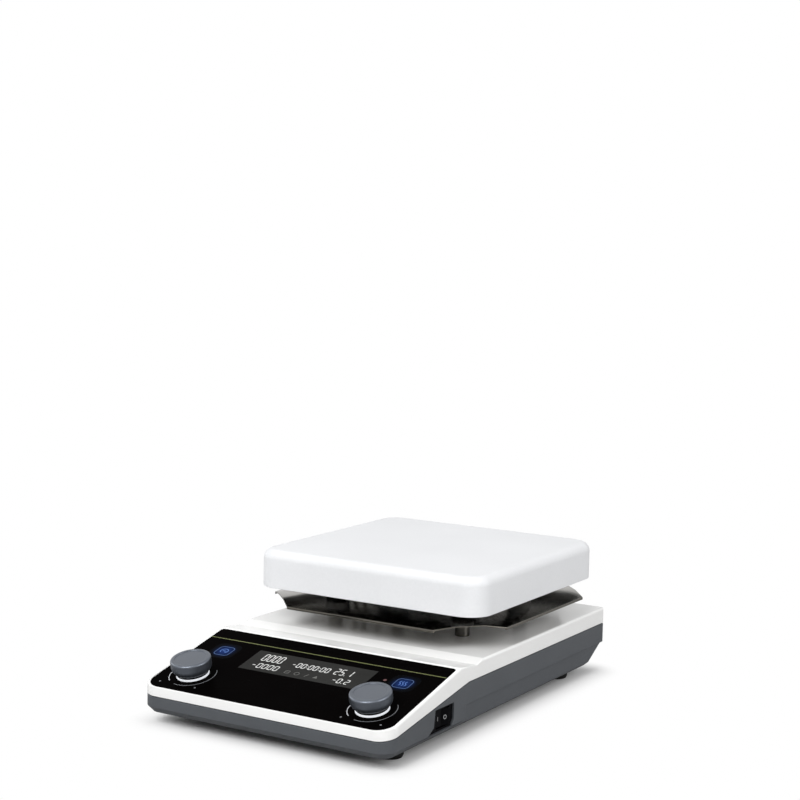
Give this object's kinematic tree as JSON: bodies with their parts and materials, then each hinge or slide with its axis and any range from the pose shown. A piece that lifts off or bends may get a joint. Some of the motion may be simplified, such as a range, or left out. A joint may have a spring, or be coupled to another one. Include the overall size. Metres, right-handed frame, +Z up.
{
  "type": "heated magnetic stirrer",
  "caption": "Low bench stirrer with a square white ceramic hot plate on posts, a sloped black control panel with turn-and-push knobs and a display, and a magnet rotor under the plate.",
  "frame": {"origin": "on the table, under the middle of the case's outline", "axes": "+Z up, +Y from the control panel towards the rear, +X to the right seen from the front"},
  "size_m": [0.186, 0.297, 0.096],
  "materials": {
    "cover_white": "white satin moulding",
    "tray_grey": "mid-grey fine-textured moulding",
    "panel_black": "black glossy fascia",
    "display_dark": "dark display window",
    "circuit_board": "green solder resist",
    "cable_grey": "pale cable sheath",
    "knob_grey": "satin silver-grey",
    "light_ring": "translucent white",
    "encoder_dark": "dark moulding",
    "steel": "bright steel",
    "plunger_amber": "plain moulding",
    "switch_black": "black satin",
    "socket_black": "black moulding",
    "contact_brass": "plated",
    "transformer_tan": "tape wound",
    "sink_aluminium": "extruded",
    "motor_case": "grey",
    "magnet_dark": "dull dark plating",
    "plate_ceramic": "white ceramic coat on a cast plate",
    "heater_mica": "mica sheet",
    "pad_fibre": "ceramic fibre felt",
    "lead_glassfibre": "woven sleeve",
    "shield_steel": "polished sheet",
    "spacer_ceramic": "dark, unglazed",
    "foot_rubber": "black"
  },
  "bodies": {
    "base": {"base_tray": "tray_grey", "top_cover": "cover_white", "rear_panel": "tray_grey", "control_panel": "panel_black", "display_window": "display_dark", "display_module": "display_dark", "control_board": "circuit_board", "ribbon_cable": "cable_grey", "stir_encoder": "encoder_dark", "stir_light_ring": "light_ring", "heat_encoder": "encoder_dark", "heat_light_ring": "light_ring", "switch_frame": "switch_black", "power_inlet": "socket_black", "inlet_pins": "contact_brass", "inlet_cable": "cable_grey", "switch_cable": "cable_grey", "power_board": "circuit_board", "transformer": "transformer_tan", "heat_sink": "sink_aluminium", "terminal_block": "socket_black", "board_screws": "steel", "motor_body": "motor_case", "motor_bracket": "steel", "motor_screws": "steel", "motor_cable": "socket_black", "hot_plate": "plate_ceramic", "heater_element": "heater_mica", "insulation_pad": "pad_fibre", "press_plate": "steel", "press_screws": "steel", "plate_sensor": "steel", "thermal_cutout": "socket_black", "plate_leads": "lead_glassfibre", "heat_shield": "shield_steel", "post_front_left": "steel", "post_front_right": "steel", "post_rear_left": "steel", "post_rear_right": "steel", "ceramic_spacers": "spacer_ceramic", "tie_screws": "steel", "probe_socket": "socket_black", "rod_socket": "steel", "foot_front_left": "foot_rubber", "foot_front_right": "foot_rubber", "foot_rear_left": "foot_rubber", "foot_rear_right": "foot_rubber", "fixing_screws": "steel"},
    "stir_push": {"stir_plunger": "plunger_amber"},
    "stir_dial": {"stir_shaft": "steel", "stir_knob": "knob_grey"},
    "heat_push": {"heat_plunger": "plunger_amber"},
    "heat_dial": {"heat_shaft": "steel", "heat_knob": "knob_grey"},
    "rocker": {"switch_rocker": "switch_black"},
    "rotor": {"motor_shaft": "steel", "rotor_yoke": "steel", "magnet_left": "magnet_dark", "magnet_right": "magnet_dark", "yoke_screw": "steel"}
  },
  "joints": [
    {"name": "stir_press", "type": "slide", "parent": "base", "child": "stir_push", "axis": [0, 0.2385, -0.9711], "range_m": [0, 0.0006], "stiffness_N_per_m": 800, "springref_m": -0.002},
    {"name": "stir_turn", "type": "hinge", "parent": "stir_push", "child": "stir_dial", "pos_m": [-0.068, -0.12665, 0.03057], "axis": [0, -0.2385, 0.9711], "continuous": true},
    {"name": "heat_press", "type": "slide", "parent": "base", "child": "heat_push", "axis": [0, 0.2385, -0.9711], "range_m": [0, 0.0006], "stiffness_N_per_m": 800, "springref_m": -0.002},
    {"name": "heat_turn", "type": "hinge", "parent": "heat_push", "child": "heat_dial", "pos_m": [0.068, -0.12665, 0.03057], "axis": [0, -0.2385, 0.9711], "continuous": true},
    {"name": "power_rock", "type": "hinge", "parent": "base", "child": "rocker", "pos_m": [0.0875, -0.0838, 0.0189], "axis": [0, 0, 1], "range_deg": [0, 16]},
    {"name": "rotor_spin", "type": "hinge", "parent": "base", "child": "rotor", "pos_m": [0, 0.0539, 0.0575], "axis": [0, 0, 1], "continuous": true}
  ]
}
